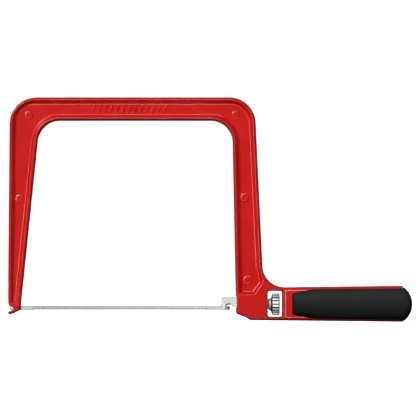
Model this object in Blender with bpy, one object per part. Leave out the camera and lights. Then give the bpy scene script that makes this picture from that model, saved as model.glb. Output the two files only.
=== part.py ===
"""Deep-throat bow saw: a cast frame whose pinned blade is tensioned by a thumb wheel.

Metres, +Z up. The saw stands upright: the blade runs along X, towards the handle at +X, and the
frame's thickness is along Y. The origin is the middle of the hand grip, on the axis of the
tension rod. Outlines are listed in millimetres from the saw's nose, the front end of the frame.
"""

import math

import bmesh
import bpy

# Driving dimensions
NOSE_X = -0.328          # front end of the frame, seen from the origin
FRAME_HALF = 0.0065      # half the thickness of the arms, the bar and the block
EDGE_DROP = 0.0010       # depth and width of the casting's rounded outer edge
WEB_HALF = 0.0029        # half the thickness of the web between the two recessed panels
PAD_HALF = 0.0077        # half the thickness of the handle core where the grip sits
GRIP_HALF = 0.0118       # half the thickness of the grip at its crown
GRIP_HALF_HEIGHT = 0.0151
GAP = 0.0003             # clearance between neighbouring pieces
THROUGH = 0.02           # half the length of a cut that goes right through the saw
SHARPEST = 0.0001        # smallest radius an outline's corner is drawn with

NOSE = 0.2               # the outline's measures from here on are in millimetres from the nose
BAR_TOP = 196.6
BAR_UNDER = 174.4
OUTER_BEND = 25.0
THROAT_BEND = 21.0
HEEL_BEND = 21.0
CORE_END = 376.2
GRIP_START = 271.5
GRIP_END = 384.4
HEEL_RADIUS = 20.5
RIM = 2.9                # width of the rim around the recessed panels

WINDOW_LOW = (247.1, -12.1)
WINDOW_HIGH = (260.8, 12.6)
SLOT_END = 236.0         # inner end of the holder's slot
SLIT_TOP = -0.9          # the nose's slit for the blade is open from here down
HOLDER_FRONT = 202.9
HOLDER_END = 234.0
HOLDER_TOP = 6.85
HOLDER_FOOT = -3.0
HOLDER_HALF = 0.0037

ROD_RADIUS = 0.0023
ROD_START = 222.3
ROD_END = 258.0
ROD_PIN_X = 228.0
ROD_PIN_RADIUS = 0.0008

WHEEL_RADIUS = 0.01085
WHEEL_LEFT = 251.3
WHEEL_RIGHT = 258.5
HUB_LEFT = 247.3
HUB_RADII = (0.0052, 0.0062)
LOBES = 20
KNURL_DEPTH = 0.0010
WASHER_RADIUS = 0.0060
WASHER_THICK = 0.0008

BLADE_FRONT = 1.3
BLADE_REAR = 211.3
BLADE_TOP = -1.45
BLADE_BOTTOM = -5.85
BLADE_HALF = 0.0003
TOOTH_START = 25.0
TOOTH_PITCH = 2.1
TOOTH_DEPTH = 1.3
TOOTH_LEAN = 0.8         # share of the pitch taken by the tooth's long back
TEETH = 78
BLADE_PIN_RADIUS = 0.0013
BLADE_PIN_HALF = 0.0032
FRONT_PIN = (3.7, -3.8)
REAR_PIN = (209.6, -3.6)

SCREW_PLACES = (286.0, 325.0, 362.0)
SCREW_RADIUS = 0.0020
SCREW_HEAD_RADIUS = 0.0036
SCREW_HEAD_BASE = 0.0096
SCREW_HEAD_TOP = 0.0112
SCREW_TIP = -0.0096

PANEL_MARKS = ((19.9, 179.7), (11.3, 100.4), (216.9, 180.0), (225.4, 101.8), (228.3, 23.0))
MARK_RADIUS = 0.0040
MARK_HEIGHT = 0.0004
ROOTED = 0.0005          # what is raised on a panel starts this deep in its web
RIBS = 13
RIB_PITCH = 5.7
FIRST_RIB = 78.2
RIB_WIDTH = 2.8
RIB_SLANT = 2.6
RIB_SPAN = (181.6, 189.4)
RIB_HEIGHT = 0.0005


# Outlines

def corner(x, z, radius):
    """A corner of an outline, from millimetres at the nose to metres at the origin."""
    return NOSE_X + x / 1000, z / 1000, radius / 1000


def at(x):
    """The X of a place given in millimetres from the nose."""
    return NOSE_X + x / 1000


def moved_inwards(corners, inset):
    """The corner list with every side moved inwards by inset (the list runs anticlockwise)."""
    count = len(corners)
    moved = []
    for i, (x, z, radius) in enumerate(corners):
        before = corners[i - 1]
        after = corners[(i + 1) % count]
        ax, az = unit(x - before[0], z - before[1])
        bx, bz = unit(after[0] - x, after[1] - z)
        turn = ax * bz - az * bx
        spread = 1 + ax * bx + az * bz
        shift_x = (-az - bz) / spread * inset
        shift_z = (ax + bx) / spread * inset
        new_radius = radius - inset if turn > 0 else radius + inset
        moved.append((x + shift_x, z + shift_z, max(new_radius, SHARPEST)))
    return moved


def unit(x, z):
    length = math.hypot(x, z)
    return x / length, z / length


def outline(corners, inset=0.0):
    """Points of a closed outline with round corners, as many points at every inset."""
    points = []
    placed = moved_inwards(corners, inset)
    count = len(placed)
    for i, (x, z, radius) in enumerate(placed):
        before = placed[i - 1]
        after = placed[(i + 1) % count]
        ax, az = unit(x - before[0], z - before[1])
        bx, bz = unit(after[0] - x, after[1] - z)
        turn = math.atan2(ax * bz - az * bx, ax * bx + az * bz)
        reach = radius * math.tan(abs(turn) / 2)
        side = math.copysign(1, turn)
        centre_x = x - ax * reach - az * side * radius
        centre_z = z - az * reach + ax * side * radius
        steps = arc_steps(turn, corners[i][2])
        for step in range(steps + 1):
            angle = turn * step / steps
            spoke_x = az * side * radius
            spoke_z = -ax * side * radius
            points.append((
                centre_x + spoke_x * math.cos(angle) - spoke_z * math.sin(angle),
                centre_z + spoke_x * math.sin(angle) + spoke_z * math.cos(angle),
            ))
    return points


def arc_steps(turn, radius):
    """Fewer steps on small or shallow corners."""
    per_right_angle = 9 if radius > 0.01 else 3
    return max(1, round(per_right_angle * abs(turn) / (math.pi / 2)))


# Solids

def finish_mesh(name, bm, material, smooth_angle=35):
    bmesh.ops.recalc_face_normals(bm, faces=bm.faces)
    mesh = bpy.data.meshes.new(name)
    bm.to_mesh(mesh)
    bm.free()
    mesh.shade_smooth()
    mesh.set_sharp_from_angle(angle=math.radians(smooth_angle))
    piece = bpy.data.objects.new(name, mesh)
    bpy.context.collection.objects.link(piece)
    if material:
        mesh.materials.append(material)
    return piece


def skin(bm, rings, closed=False):
    """Join rings of points, all of one length, side by side; cap the ends unless closed."""
    loops = [[bm.verts.new(point) for point in ring] for ring in rings]
    if not closed:
        bm.faces.new(loops[0])
        bm.faces.new(loops[-1])
    pairs = list(zip(loops, loops[1:]))
    if closed:
        pairs.append((loops[-1], loops[0]))
    for first, second in pairs:
        count = len(first)
        for i in range(count):
            j = (i + 1) % count
            bm.faces.new((first[i], first[j], second[j], second[i]))


def slab_rings(corners, levels):
    """Rings of an outline that lies in XZ: levels are (y, inset)."""
    rings = []
    for y, inset in levels:
        rings.append([(x, y, z) for x, z in outline(corners, inset)])
    return rings


def ringed(name, rings, material=None, closed=False):
    bm = bmesh.new()
    skin(bm, list(rings), closed)
    return finish_mesh(name, bm, material)


def slab(name, corners, levels, material=None):
    return ringed(name, slab_rings(corners, levels), material)


def box(name, low, high):
    corners = [(low[0], low[2]), (high[0], low[2]), (high[0], high[2]), (low[0], high[2])]
    return ringed(name, [[(x, y, z) for x, z in corners] for y in (low[1], high[1])])


def circle(radius, steps):
    for step in range(steps):
        angle = 2 * math.pi * step / steps
        yield radius * math.cos(angle), radius * math.sin(angle)


def turned_x(name, profile, material=None, steps=24, closed=False):
    """A round piece about the X axis; profile is (x, radius) along the axis."""
    rings = [[(x, a, b) for a, b in circle(radius, steps)] for x, radius in profile]
    return ringed(name, rings, material, closed)


def turned_y(name, place, profile, material=None, steps=20):
    """A round piece parallel to Y through place (x, z); profile is (y, radius)."""
    rings = [[(place[0] + a, y, place[1] + b) for a, b in circle(radius, steps)]
             for y, radius in profile]
    return ringed(name, rings, material)


def through_hole(place, radius, steps=20):
    """A cutter for a hole parallel to Y, right through the saw."""
    return turned_y("hole", place, [(-THROUGH, radius), (THROUGH, radius)], steps=steps)


def combine(piece, tool, operation):
    """Cut tool from piece, or add it, with a Boolean that stays on the piece."""
    tool.hide_render = True
    tool.display_type = "WIRE"
    boolean = piece.modifiers.new(operation.lower(), "BOOLEAN")
    boolean.operation = operation
    boolean.solver = "EXACT"
    boolean.object = tool


def cut(piece, tool):
    combine(piece, tool, "DIFFERENCE")


def add(piece, tool):
    combine(piece, tool, "UNION")


def paint(name, colour, roughness, metallic):
    material = bpy.data.materials.new(name)
    material.use_nodes = True
    shader = material.node_tree.nodes["Principled BSDF"]
    shader.inputs["Base Color"].default_value = (*colour, 1.0)
    shader.inputs["Roughness"].default_value = roughness
    shader.inputs["Metallic"].default_value = metallic
    return material


# The casting

def frame_corners():
    """The casting's outline: tip hook, throat, block, handle core, heel, bar, front arm."""
    return [
        corner(NOSE, -9.4, 0.9),
        corner(5.0, -8.5, 6.0),
        corner(11.9, -5.3, 1.2),
        corner(30.5, BAR_UNDER, THROAT_BEND),
        corner(213.4, BAR_UNDER, THROAT_BEND),
        corner(217.0, -9.0, 1.4),
        corner(226.4, -12.6, 3.0),
        corner(230.4, -15.3, 3.0),
        corner(CORE_END, -16.9, 1.4),
        corner(CORE_END, 17.4, 1.4),
        corner(243.1, 15.75, HEEL_BEND),
        corner(234.6, BAR_TOP, OUTER_BEND),
        corner(1.8, BAR_TOP, OUTER_BEND),
        corner(0.0, 7.0, 30.0),
        corner(NOSE, -0.4, 0.6),
        corner(1.9, -2.0, 0.8),
        corner(5.3, -2.0, 1.9),
        corner(5.3, -6.0, 1.9),
        corner(NOSE, -6.4, 0.6),
    ]


def panel_corners():
    """The recessed panel's outline at the rim: it follows the casting, then closes its ends."""
    beside = moved_inwards(frame_corners(), RIM / 1000)
    throat_front, throat_rear = beside[3], beside[4]
    bar_rear, bar_front = beside[11], beside[12]
    return [
        corner(3.1, 0.3, 3.1),
        corner(9.5, 0.3, 3.1),
        throat_front,
        throat_rear,
        corner(219.6, 8.9, 1.0),
        corner(234.7, 8.9, 2.0),
        corner(243.0, 20.8, 2.0),
        corner(239.3, 36.0, 6.0),
        bar_rear,
        bar_front,
    ]


def panel_cutter(side):
    """A drafted pocket with a soft rim edge and a soft floor edge, on one face."""
    levels = [(0.0080, -0.0005), (0.0065, -0.0005), (0.0059, 0.0003), (0.0039, 0.0017),
              (WEB_HALF, 0.0031)]
    return slab("panel_cutter", panel_corners(), [(side * y, inset) for y, inset in levels])


def pad(side):
    """The raised flat of the handle core on one face, under the grip."""
    corners = [
        corner(262.9, -13.8, 1.8),
        corner(374.8, -15.2, 1.8),
        corner(374.8, 15.6, 1.8),
        corner(262.9, 14.2, 1.8),
    ]
    levels = [(0.0050, 0.0), (PAD_HALF - 0.0004, 0.0), (PAD_HALF, 0.0004)]
    return slab("handle_pad", corners, [(side * y, inset) for y, inset in levels])


def rib(index):
    """One plain slanted rib on the bar's front panel."""
    left = FIRST_RIB + index * RIB_PITCH
    low, high = RIB_SPAN
    corners = [
        (at(left), low / 1000),
        (at(left + RIB_WIDTH), low / 1000),
        (at(left + RIB_WIDTH + RIB_SLANT), high / 1000),
        (at(left + RIB_SLANT), high / 1000),
    ]
    faces = (-WEB_HALF - RIB_HEIGHT, -WEB_HALF + ROOTED)
    return ringed("rib", [[(x, y, z) for x, z in corners] for y in faces])


def front_marks(frame):
    """Round ejector marks and the row of ribs, on the front panel's floor."""
    top = -WEB_HALF - MARK_HEIGHT
    root = -WEB_HALF + ROOTED
    for x, z in PANEL_MARKS:
        mark = turned_y("mark", (at(x), z / 1000), [(top, MARK_RADIUS), (root, MARK_RADIUS)])
        add(frame, mark)
    for index in range(RIBS):
        add(frame, rib(index))


def make_frame(material):
    levels = [
        (-FRAME_HALF, EDGE_DROP),
        (-FRAME_HALF + 0.0003, 0.0004),
        (-FRAME_HALF + EDGE_DROP, 0.0),
        (FRAME_HALF - EDGE_DROP, 0.0),
        (FRAME_HALF - 0.0003, 0.0004),
        (FRAME_HALF, EDGE_DROP),
    ]
    frame = slab("frame", frame_corners(), levels, material)
    for side in (-1, 1):
        cut(frame, panel_cutter(side))
        add(frame, pad(side))
    front_marks(frame)
    cut(frame, window_cutter())
    cut(frame, holder_slot_cutter())
    cut(frame, rod_bore_cutter())
    cut(frame, blade_slit_cutter())
    for x in SCREW_PLACES:
        cut(frame, through_hole((at(x), 0.0), SCREW_RADIUS + GAP))
    return frame


def window_cutter():
    """The wheel's window, right through the block."""
    left, low = WINDOW_LOW
    right, high = WINDOW_HIGH
    corners = [
        corner(left, low, 1.8),
        corner(right, low, 1.8),
        corner(right, high, 1.8),
        corner(left, high, 1.8),
    ]
    return slab("window_cutter", corners, [(-THROUGH, 0.0), (THROUGH, 0.0)])


def holder_slot_cutter():
    """The square slot that guides the holder, open towards the throat."""
    half = HOLDER_HALF + GAP
    low = (at(HOLDER_FRONT), -half, HOLDER_FOOT / 1000 - GAP)
    high = (at(SLOT_END), half, HOLDER_TOP / 1000 + GAP)
    return box("slot_cutter", low, high)


def rod_bore_cutter():
    """The rod's bore from the slot to the window, with the washer's seat at the window."""
    seat = at(WINDOW_LOW[0]) - WASHER_THICK - GAP
    bore = ROD_RADIUS + 2 * GAP
    profile = [
        (at(SLOT_END - 1), bore),
        (seat, bore),
        (seat, WASHER_RADIUS + GAP),
        (at(WINDOW_LOW[0] + 2), WASHER_RADIUS + GAP),
    ]
    return turned_x("bore_cutter", profile)


def blade_slit_cutter():
    """The slit in the nose, open below and at both sides."""
    half = BLADE_HALF + GAP
    beyond = 3.0
    behind = 20.0
    return box("slit_cutter", (at(-beyond), -half, -THROUGH), (at(behind), half, SLIT_TOP / 1000))


# The tensioner

def make_wheel(material):
    """Knurled rim and hub in one, turned about its own origin on the rod's axis."""
    middle = (WHEEL_LEFT + WHEEL_RIGHT) / 2
    left = (WHEEL_LEFT - middle) / 1000
    right = (WHEEL_RIGHT - middle) / 1000
    hub = (HUB_LEFT - middle) / 1000
    bore = ROD_RADIUS + GAP
    chamfer = 0.0010
    profile = [
        (hub, bore),
        (hub, HUB_RADII[0]),
        (left, HUB_RADII[1]),
        (left, WHEEL_RADIUS - chamfer),
        (left + chamfer, WHEEL_RADIUS),
        (right - chamfer, WHEEL_RADIUS),
        (right, WHEEL_RADIUS - chamfer),
        (right, bore),
    ]
    rings = [knurled_ring(x, radius) for x, radius in profile]
    wheel = ringed("tension_wheel", rings, material, closed=True)
    wheel.location = (at(middle), 0.0, 0.0)
    return wheel


def knurled_ring(x, radius):
    """A ring of points that dips into the grooves where it is wide enough to meet them."""
    ring = []
    depths = (1.0, 0.35, 0.0, 0.0, 0.35)
    for lobe in range(LOBES):
        for step, depth in enumerate(depths):
            angle = 2 * math.pi * (lobe + step / len(depths)) / LOBES
            reach = min(radius, WHEEL_RADIUS - KNURL_DEPTH * depth)
            ring.append((x, reach * math.cos(angle), reach * math.sin(angle)))
    return ring


def make_washer(material):
    left = at(WINDOW_LOW[0]) - WASHER_THICK
    right = at(WINDOW_LOW[0])
    bore = ROD_RADIUS + 2 * GAP
    profile = [(left, bore), (left, WASHER_RADIUS), (right, WASHER_RADIUS), (right, bore)]
    return turned_x("thrust_washer", profile, material, closed=True)


def make_holder(material):
    """Flat bar: a hook notch for the rear pin, a slit for the blade, a bore for the rod."""
    corners = [
        corner(HOLDER_FRONT, -5.7, 0.6),
        corner(208.0, -5.7, 0.6),
        corner(208.0, -0.7, 1.6),
        corner(212.2, -0.7, 1.6),
        corner(214.4, HOLDER_FOOT, 0.8),
        corner(HOLDER_END, HOLDER_FOOT, 0.6),
        corner(HOLDER_END, HOLDER_TOP, 0.6),
        corner(HOLDER_FRONT, HOLDER_TOP, 0.6),
    ]
    edge = 0.0003
    levels = [(-HOLDER_HALF, edge), (-HOLDER_HALF + edge, 0.0),
              (HOLDER_HALF - edge, 0.0), (HOLDER_HALF, edge)]
    holder = slab("blade_holder", corners, levels, material)
    half = BLADE_HALF + GAP
    slit_low = (at(HOLDER_FRONT - 2), -half, -THROUGH)
    slit_high = (at(BLADE_REAR + 1.5), half, BLADE_TOP / 1000 + GAP)
    cut(holder, box("holder_slit", slit_low, slit_high))
    bore = ROD_RADIUS + GAP
    reach = [(at(ROD_START) - GAP, bore), (at(HOLDER_END + 2), bore)]
    cut(holder, turned_x("holder_bore", reach))
    cut(holder, through_hole((at(ROD_PIN_X), 0.0), ROD_PIN_RADIUS + GAP))
    return holder


def make_rod(material):
    """Draw rod, plain here at its mean thread diameter, with a cross hole for its pin."""
    start = at(ROD_START)
    end = at(ROD_END)
    tip = 0.0005
    profile = [(start, ROD_RADIUS), (end - tip, ROD_RADIUS), (end, ROD_RADIUS - tip)]
    rod = turned_x("draw_rod", profile, material)
    cut(rod, through_hole((at(ROD_PIN_X), 0.0), ROD_PIN_RADIUS + GAP, steps=12))
    return rod


def make_pin(name, place, radius, half, material):
    edge = 0.0002
    profile = [(-half, radius - edge), (-half + edge, radius),
               (half - edge, radius), (half, radius - edge)]
    return turned_y(name, place, profile, material, steps=16)


# The blade

def blade_outline():
    """Anticlockwise from the front end: plain end, teeth leaning to the handle, plain end."""
    bottom = BLADE_BOTTOM / 1000
    top = BLADE_TOP / 1000
    root = bottom + TOOTH_DEPTH / 1000
    ease = 0.0006
    points = [(at(BLADE_FRONT), bottom + ease), (at(BLADE_FRONT) + ease, bottom)]
    land = 0.5
    points.append((at(TOOTH_START - land), bottom))
    for tooth in range(TEETH):
        start = TOOTH_START + tooth * TOOTH_PITCH
        points.append((at(start), root))
        points.append((at(start + TOOTH_LEAN * TOOTH_PITCH), bottom))
    last = TOOTH_START + TEETH * TOOTH_PITCH
    points.append((at(last), root))
    points.append((at(last + land), bottom))
    points.append((at(BLADE_REAR) - ease, bottom))
    points.append((at(BLADE_REAR), bottom + ease))
    points.append((at(BLADE_REAR), top - ease))
    points.append((at(BLADE_REAR) - ease, top))
    points.append((at(BLADE_FRONT) + ease, top))
    points.append((at(BLADE_FRONT), top - ease))
    return points


def make_blade(material):
    points = blade_outline()
    rings = [[(x, y, z) for x, z in points] for y in (-BLADE_HALF, BLADE_HALF)]
    blade = ringed("blade", rings, material)
    for x, z in (FRONT_PIN, REAR_PIN):
        cut(blade, through_hole((at(x), z / 1000), BLADE_PIN_RADIUS + GAP))
    return blade


# The grip

def crown_corners():
    """Outline of the grip's crown: it widens from the neck and ends in one round heel."""
    return [
        corner(GRIP_START, -9.8, 1.6),
        corner(289.0, -13.7, 14.0),
        corner(377.8, -GRIP_HALF_HEIGHT * 1000, 0.6),
        corner(394.0, 0.0, HEEL_RADIUS - 0.3),
        corner(377.8, GRIP_HALF_HEIGHT * 1000, 0.6),
        corner(289.0, 14.2, 14.0),
        corner(GRIP_START, 10.2, 1.6),
    ]


def heel_corners():
    """Outline of the heel beyond the casting's core, as tall as the core."""
    start = CORE_END + GAP * 1000
    return [
        corner(start, -16.2, 0.1),
        corner(397.5, 0.0, HEEL_RADIUS - 0.2),
        corner(start, 16.2, 0.1),
    ]


def drawn_in(points, inset, middle_x, half_x, half_z):
    """The points squeezed towards their middle, so that the outline's ends move by inset."""
    for x, z in points:
        yield middle_x + (x - middle_x) * (1 - inset / half_x), z * (1 - inset / half_z)


def crown_rings(side):
    """Rings from the grip's flat seat up to its rounded crown."""
    levels = [
        (PAD_HALF + GAP, 0.0),
        (0.0092, 0.0),
        (0.0103, 0.0008),
        (0.0112, 0.0024),
        (GRIP_HALF, 0.0052),
    ]
    points = outline(crown_corners())
    middle = (at(GRIP_START) + at(GRIP_END)) / 2
    half_x = at(GRIP_END) - middle
    for y, inset in levels:
        squeezed = drawn_in(points, inset, middle, half_x, GRIP_HALF_HEIGHT)
        yield [(x, side * y, z) for x, z in squeezed]


def heel_rings(side):
    """Rings of the heel, from the joint between the halves to under the crown."""
    points = outline(heel_corners())
    middle = at(GRIP_END - HEEL_RADIUS)
    radius = HEEL_RADIUS / 1000
    for y, inset in ((GAP / 2, 0.0), (0.0086, 0.0), (0.0097, 0.0010)):
        yield [(x, side * y, z) for x, z in drawn_in(points, inset, middle, radius, radius)]


def make_grip(name, side, material):
    """One crowned grip half; its heel wraps the end of the casting's core."""
    grip = ringed(name, crown_rings(side), material)
    add(grip, ringed("heel", heel_rings(side)))
    return grip


def make_grips(material):
    """The front half has blind holes for the screws' points, the back half seats their heads."""
    front = make_grip("grip_front", -1, material)
    back = make_grip("grip_back", 1, material)
    clear = SCREW_RADIUS + GAP
    for x in SCREW_PLACES:
        place = (at(x), 0.0)
        cut(front, turned_y("boss_hole", place, [(SCREW_TIP - GAP, clear), (0.0, clear)]))
        seat = SCREW_HEAD_BASE - GAP
        head = SCREW_HEAD_RADIUS + GAP
        stepped = [(0.0, clear), (seat, clear), (seat, head), (THROUGH, head)]
        cut(back, turned_y("head_hole", place, stepped))


def make_screw(name, x, material):
    """Pan-head screw from the back; its drive recess is a cross."""
    profile = [
        (SCREW_TIP, SCREW_RADIUS - 0.0006),
        (SCREW_TIP + 0.0010, SCREW_RADIUS),
        (SCREW_HEAD_BASE, SCREW_RADIUS),
        (SCREW_HEAD_BASE, SCREW_HEAD_RADIUS),
        (SCREW_HEAD_TOP - 0.0005, SCREW_HEAD_RADIUS),
        (SCREW_HEAD_TOP, SCREW_HEAD_RADIUS - 0.0009),
    ]
    screw = turned_y(name, (at(x), 0.0), profile, material)
    arm = 0.0019
    width = 0.00045
    floor = SCREW_HEAD_TOP - 0.0010
    for half_x, half_z in ((arm, width), (width, arm)):
        low = (at(x) - half_x, floor, -half_z)
        high = (at(x) + half_x, THROUGH, half_z)
        cut(screw, box("drive", low, high))
    return screw


# Assembly

def clear_scene():
    for old in list(bpy.data.objects):
        bpy.data.objects.remove(old, do_unlink=True)


def hang_on(empty_name, place, pieces):
    """Parent pieces to an empty on their joint's axis, keeping them where they are."""
    empty = bpy.data.objects.new(empty_name, None)
    empty.location = place
    bpy.context.collection.objects.link(empty)
    for piece in pieces:
        piece.parent = empty
        piece.location = (piece.location[0] - place[0], piece.location[1] - place[1],
                          piece.location[2] - place[2])


def main():
    clear_scene()
    enamel = paint("red_enamel", (0.56, 0.016, 0.012), 0.3, 0.0)
    rubber = paint("black_grip", (0.018, 0.018, 0.019), 0.75, 0.0)
    zinc = paint("zinc_plate", (0.62, 0.63, 0.62), 0.35, 1.0)
    nickel = paint("bright_nickel", (0.78, 0.76, 0.72), 0.18, 1.0)
    steel = paint("blade_steel", (0.50, 0.51, 0.52), 0.38, 1.0)

    make_frame(enamel)
    make_grips(rubber)
    for number, x in enumerate(SCREW_PLACES, start=1):
        make_screw("grip_screw_" + str(number), x, zinc)
    make_washer(steel)
    make_wheel(nickel)

    front_place = (at(FRONT_PIN[0]), FRONT_PIN[1] / 1000)
    rear_place = (at(REAR_PIN[0]), REAR_PIN[1] / 1000)
    carriage = [
        make_holder(zinc),
        make_rod(steel),
        make_pin("rod_pin", (at(ROD_PIN_X), 0.0), ROD_PIN_RADIUS, HOLDER_HALF, steel),
        make_blade(steel),
        make_pin("blade_pin_front", front_place, BLADE_PIN_RADIUS, BLADE_PIN_HALF, steel),
        make_pin("blade_pin_rear", rear_place, BLADE_PIN_RADIUS, BLADE_PIN_HALF, steel),
    ]
    hang_on("blade_carriage", (at(ROD_START), 0.0, 0.0), carriage)


main()
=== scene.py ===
"""Looks of a deep-throat bow saw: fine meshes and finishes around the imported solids.

Metres, +Z up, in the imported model's own frame: the blade runs along X, the handle is at +X and
the frame's thickness is along Y. Outlines are listed in millimetres from the saw's nose (the
front end of its frame) and from the tension rod's axis.
"""

import math

import bmesh
import bpy
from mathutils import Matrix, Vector


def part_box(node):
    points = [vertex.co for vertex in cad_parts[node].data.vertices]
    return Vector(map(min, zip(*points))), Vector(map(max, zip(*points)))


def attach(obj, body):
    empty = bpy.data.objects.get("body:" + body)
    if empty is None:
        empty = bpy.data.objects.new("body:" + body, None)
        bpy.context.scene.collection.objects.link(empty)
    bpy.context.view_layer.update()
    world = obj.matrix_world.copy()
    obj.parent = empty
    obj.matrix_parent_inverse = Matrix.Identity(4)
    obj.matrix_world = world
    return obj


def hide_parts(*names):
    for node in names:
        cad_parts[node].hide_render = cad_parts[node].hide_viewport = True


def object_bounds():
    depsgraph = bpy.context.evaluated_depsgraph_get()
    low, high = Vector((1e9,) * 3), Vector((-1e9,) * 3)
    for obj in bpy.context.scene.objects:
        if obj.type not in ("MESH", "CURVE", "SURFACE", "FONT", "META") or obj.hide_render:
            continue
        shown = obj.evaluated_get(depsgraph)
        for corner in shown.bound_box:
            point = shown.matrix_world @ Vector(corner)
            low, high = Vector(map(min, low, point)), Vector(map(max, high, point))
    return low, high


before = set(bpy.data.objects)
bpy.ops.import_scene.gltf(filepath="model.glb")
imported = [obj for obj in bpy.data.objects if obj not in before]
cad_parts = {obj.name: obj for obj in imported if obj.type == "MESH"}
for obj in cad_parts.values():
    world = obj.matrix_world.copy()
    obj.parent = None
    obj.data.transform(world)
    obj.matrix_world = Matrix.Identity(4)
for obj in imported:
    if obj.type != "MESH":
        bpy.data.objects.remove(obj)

CAD_LOW, CAD_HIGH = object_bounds()

# Driving dimensions
BLADE_SETBACK = 0.0013    # the blade starts this far behind the nose
NOSE_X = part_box("blade")[0].x - BLADE_SETBACK
FRAME_HALF = 0.0065       # half the thickness of the arms, the bar and the block
WEB_HALF = 0.0025         # half the thickness of the web between the two recessed panels
PAD_HALF = 0.0077         # half the thickness of the handle core under the grip
RIM = 2.9                 # millimetres from the casting's side to a panel's nominal edge
WALL_TILT = math.radians(58)  # slope of the panels' walls, from the face
RIM_ROUND = 0.0009        # radius where a panel's wall meets the rim
FLOOR_ROUND = 0.0015      # radius where it meets the floor
WALL_START = -0.0004      # where that rounding starts, from the panel's nominal edge
WINDOW_LEFT = 247.3       # the wheel's window, in millimetres from the nose
WINDOW_RIGHT = 260.6
WINDOW_LOW = -11.9        # and from the rod's axis
WINDOW_HIGH = 12.4
HOLDER_FOOT = -0.0030     # underside of the blade holder's bar
HUB_ROOT = 0.0066         # radius of the wheel's hub at its root
FIRST_TOOTH = 25.0        # where the teeth start, in millimetres from the nose
TOOTH_PITCH = 0.0021      # from one tooth to the next
SCREWS = (1, 2, 3)        # numbers of the grip's screws
SCREW_CLEARANCE = 0.0023  # radius of the holes round their shanks
SCREW_HEAD_BASE = 0.0096  # how far behind the middle their heads are seated
GAP = 0.0003              # clearance between neighbouring pieces
THROUGH = 0.02            # half the length of a cut that goes right through the saw
SHARPEST = 0.0001         # smallest radius an outline's corner is drawn with
ARC_STEPS = 24            # steps in a quarter turn of a large bend
SMALL_ARC_STEPS = 8       # and of a small corner


def at(x):
    """The X of a place given in millimetres from the nose."""
    return NOSE_X + x / 1000


def box_middle(node):
    """(x, z) of the middle of a node's box."""
    low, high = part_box(node)
    return (low.x + high.x) / 2, (low.z + high.z) / 2


def screw_node(number):
    """The name of a screw's node."""
    return "grip_screw_" + str(number)


def screw_place(number):
    """(x, z) of a screw's axis; all three are level with the rod."""
    return box_middle(screw_node(number))[0], 0.0


# Outlines

def corner(x, z, radius, share=1.0):
    """An outline's corner, from millimetres; share scales the insets of the side after it."""
    return at(x), z / 1000, radius / 1000, share


def unit(x, z):
    """The direction of (x, z), of length 1."""
    length = math.hypot(x, z)
    return x / length, z / length


def sides_at(corners, i):
    """Directions of the sides that meet at corner i, and the turn between them."""
    x, z = corners[i][:2]
    before = corners[i - 1]
    after = corners[(i + 1) % len(corners)]
    ax, az = unit(x - before[0], z - before[1])
    bx, bz = unit(after[0] - x, after[1] - z)
    turn = math.atan2(ax * bz - az * bx, ax * bx + az * bz)
    return (ax, az), (bx, bz), turn


def moved_inwards(corners, inset):
    """The corners with every side moved inwards by its share (the list runs anticlockwise)."""
    shallow = 0.5
    moved = []
    for i, (x, z, radius, share) in enumerate(corners):
        (ax, az), (bx, bz), turn = sides_at(corners, i)
        first = inset * corners[i - 1][3]
        second = inset * share
        mean = (first + second) / 2
        if abs(turn) < shallow:
            spread = 1 + ax * bx + az * bz
            shift = ((-az - bz) / spread * mean, (ax + bx) / spread * mean)
        else:
            cross = ax * bz - az * bx
            shift = ((first * bx - second * ax) / cross, (first * bz - second * az) / cross)
        new_radius = radius - mean if turn > 0 else radius + mean
        moved.append((x + shift[0], z + shift[1], max(new_radius, SHARPEST), share))
    return moved


def outline(corners, inset=0.0):
    """Points of a closed outline with round corners, as many points at every inset."""
    points = []
    placed = moved_inwards(corners, inset)
    for i, (x, z, radius, _) in enumerate(placed):
        (ax, az), _, turn = sides_at(placed, i)
        reach = radius * math.tan(abs(turn) / 2)
        side = math.copysign(1, turn)
        centre_x = x - ax * reach - az * side * radius
        centre_z = z - az * reach + ax * side * radius
        spoke_x = az * side * radius
        spoke_z = -ax * side * radius
        steps = arc_steps(sides_at(corners, i)[2], corners[i][2])
        for step in range(steps + 1):
            angle = turn * step / steps
            points.append((
                centre_x + spoke_x * math.cos(angle) - spoke_z * math.sin(angle),
                centre_z + spoke_x * math.sin(angle) + spoke_z * math.cos(angle),
            ))
    return points


def arc_steps(turn, radius):
    """How many straight steps draw a corner."""
    large = 0.01
    per_right_angle = ARC_STEPS if radius > large else SMALL_ARC_STEPS
    return max(1, round(per_right_angle * abs(turn) / (math.pi / 2)))


def quarter_round(radius, steps=6):
    """(height lost, inset) along a rounded edge, from the side to the face."""
    for step in range(steps + 1):
        angle = math.pi / 2 * step / steps
        yield radius * (1 - math.sin(angle)), radius * (1 - math.cos(angle))


def soft_chamfer(width, tilt, brow, cheek, steps=4):
    """(height lost, inset) up a chamfer of the given tilt, rounded at the side and the face."""
    flat = width - brow * math.sin(tilt) - cheek * (1 - math.sin(tilt))
    rise = flat * math.tan(tilt)
    total = rise + brow * (1 - math.cos(tilt)) + cheek * math.cos(tilt)
    for step in range(steps + 1):
        angle = math.pi / 2 + (tilt - math.pi / 2) * step / steps
        yield total - cheek * math.cos(angle), cheek * (1 - math.sin(angle))
    for step in range(steps + 1):
        angle = tilt * (1 - step / steps)
        yield brow * (1 - math.cos(angle)), width - brow * math.sin(angle)


# Solids

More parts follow.
